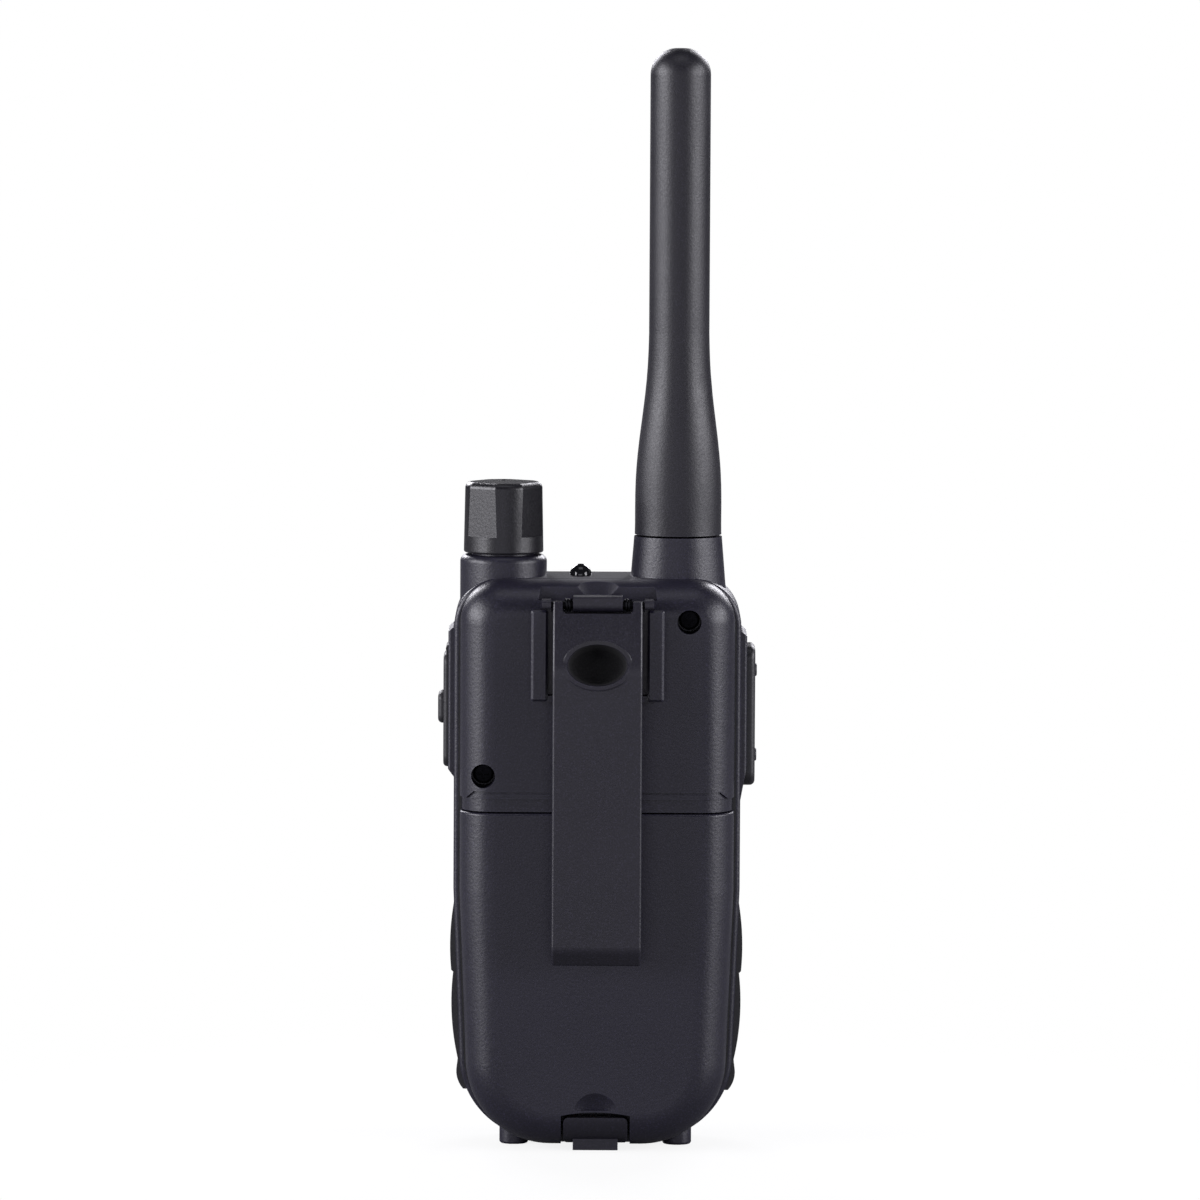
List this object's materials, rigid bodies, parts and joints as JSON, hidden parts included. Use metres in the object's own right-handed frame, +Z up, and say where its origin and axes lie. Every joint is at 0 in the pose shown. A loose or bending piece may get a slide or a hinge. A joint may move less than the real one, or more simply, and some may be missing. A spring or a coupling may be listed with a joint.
{
  "type": "portable radio",
  "caption": "Handheld two-way radio with a fixed stub antenna, a volume knob, side talk button, covered jacks, sliding battery door and a sprung belt clip that slides off.",
  "frame": {"origin": "on the surface the feet stand on, under the centre of the radio's box", "axes": "+Z up along the antenna, -Y out of the display and speaker, +Y out of the belt clip, -X out of the talk button"},
  "size_m": [0.064, 0.041, 0.22],
  "materials": {
    "case_plastic": "satin moulded texture",
    "clip_plastic": "satin moulded texture",
    "antenna_cover": "fine matte skin",
    "soft_rubber": "matte",
    "knob_plastic": "satin",
    "button_plastic": "satin",
    "seal_rubber": "matte",
    "lamp_lens": "polished dark lens",
    "window": "clear polished window",
    "display": "display glass in a dark frame",
    "steel": "bright",
    "black_steel": "black oxide",
    "brass": "plated",
    "board": "solder resist over laminate",
    "black_moulding": "matte",
    "cloth": "woven",
    "magnet": "ground ferrite",
    "cell": "shrink sleeve over a steel can"
  },
  "bodies": {
    "case": {"front_case": "case_plastic", "rear_case": "case_plastic", "ptt_bezel": "case_plastic", "jack_bezel": "case_plastic", "antenna_sleeve": "antenna_cover", "side_grip_left": "soft_rubber", "side_grip_right": "soft_rubber", "case_seal": "seal_rubber", "battery_seal": "seal_rubber", "keypad_mat": "seal_rubber", "led_lens": "lamp_lens", "display_window": "window", "display_module": "display", "battery_springs": "steel", "battery_plates": "steel", "speaker_frame": "steel", "rf_shield": "steel", "encoder_nut": "steel", "case_screws": "black_steel", "board_screws": "black_steel", "antenna_stud": "brass", "antenna_contact": "brass", "charge_contacts": "brass", "antenna_coil": "brass", "main_board": "board", "board_components": "black_moulding", "ptt_switch": "black_moulding", "volume_encoder": "black_moulding", "audio_jacks": "black_moulding", "microphone": "black_moulding", "antenna_core": "black_moulding", "speaker_cloth": "cloth", "speaker_cone": "cloth", "speaker_magnet": "magnet", "battery_cells": "cell"},
    "volume_knob": {"volume_knob": "knob_plastic", "volume_shaft": "steel"},
    "talk_button": {"ptt_button": "button_plastic"},
    "menu_key": {"menu_key": "button_plastic"},
    "call_key": {"call_key": "button_plastic"},
    "lock_key": {"lock_key": "button_plastic"},
    "down_key": {"down_key": "button_plastic"},
    "up_key": {"up_key": "button_plastic"},
    "jack_cover": {"jack_cover": "soft_rubber"},
    "battery_door": {"battery_door": "case_plastic", "latch_pin": "black_steel"},
    "door_latch": {"door_latch": "clip_plastic"},
    "belt_clip": {"clip_base": "clip_plastic", "clip_pin": "black_steel", "clip_spring": "black_steel"},
    "clip_arm": {"clip_arm": "clip_plastic"}
  },
  "joints": [
    {"name": "volume_turn", "type": "hinge", "parent": "case", "child": "volume_knob", "pos_m": [0.019, -0.007, 0.119], "axis": [0, 0, -1], "range_deg": [0, 280]},
    {"name": "talk_press", "type": "slide", "parent": "case", "child": "talk_button", "axis": [1, 0, 0], "range_m": [0, 0.001], "stiffness_N_per_m": 800, "springref_m": -0.002},
    {"name": "menu_key_press", "type": "slide", "parent": "case", "child": "menu_key", "axis": [0, 1, 0], "range_m": [0, 0.0006], "stiffness_N_per_m": 700, "springref_m": -0.0015},
    {"name": "call_key_press", "type": "slide", "parent": "case", "child": "call_key", "axis": [0, 1, 0], "range_m": [0, 0.0006], "stiffness_N_per_m": 700, "springref_m": -0.0015},
    {"name": "lock_key_press", "type": "slide", "parent": "case", "child": "lock_key", "axis": [0, 1, 0], "range_m": [0, 0.0006], "stiffness_N_per_m": 700, "springref_m": -0.0015},
    {"name": "down_key_press", "type": "slide", "parent": "case", "child": "down_key", "axis": [0, 1, 0], "range_m": [0, 0.0006], "stiffness_N_per_m": 700, "springref_m": -0.0015},
    {"name": "up_key_press", "type": "slide", "parent": "case", "child": "up_key", "axis": [0, 1, 0], "range_m": [0, 0.0006], "stiffness_N_per_m": 700, "springref_m": -0.0015},
    {"name": "jack_cover_open", "type": "hinge", "parent": "case", "child": "jack_cover", "pos_m": [0.0296, -0.007, 0.0997], "axis": [0, -1, 0], "range_deg": [0, 120]},
    {"name": "door_slide", "type": "slide", "parent": "case", "child": "battery_door", "axis": [0, 0, -1], "range_m": [0, 0.066]},
    {"name": "latch_release", "type": "hinge", "parent": "battery_door", "child": "door_latch", "pos_m": [0, 0.0084, 0.0053], "axis": [1, 0, 0], "range_deg": [0, 12], "stiffness_Nm_per_rad": 0.02, "springref_deg": -11.46},
    {"name": "clip_slide", "type": "slide", "parent": "case", "child": "belt_clip", "axis": [0, 0, 1], "range_m": [0, 0.02]},
    {"name": "clip_open", "type": "hinge", "parent": "belt_clip", "child": "clip_arm", "pos_m": [0, 0.015, 0.1102], "axis": [1, 0, 0], "range_deg": [0, 25], "stiffness_Nm_per_rad": 0.5, "springref_deg": -11.46}
  ]
}
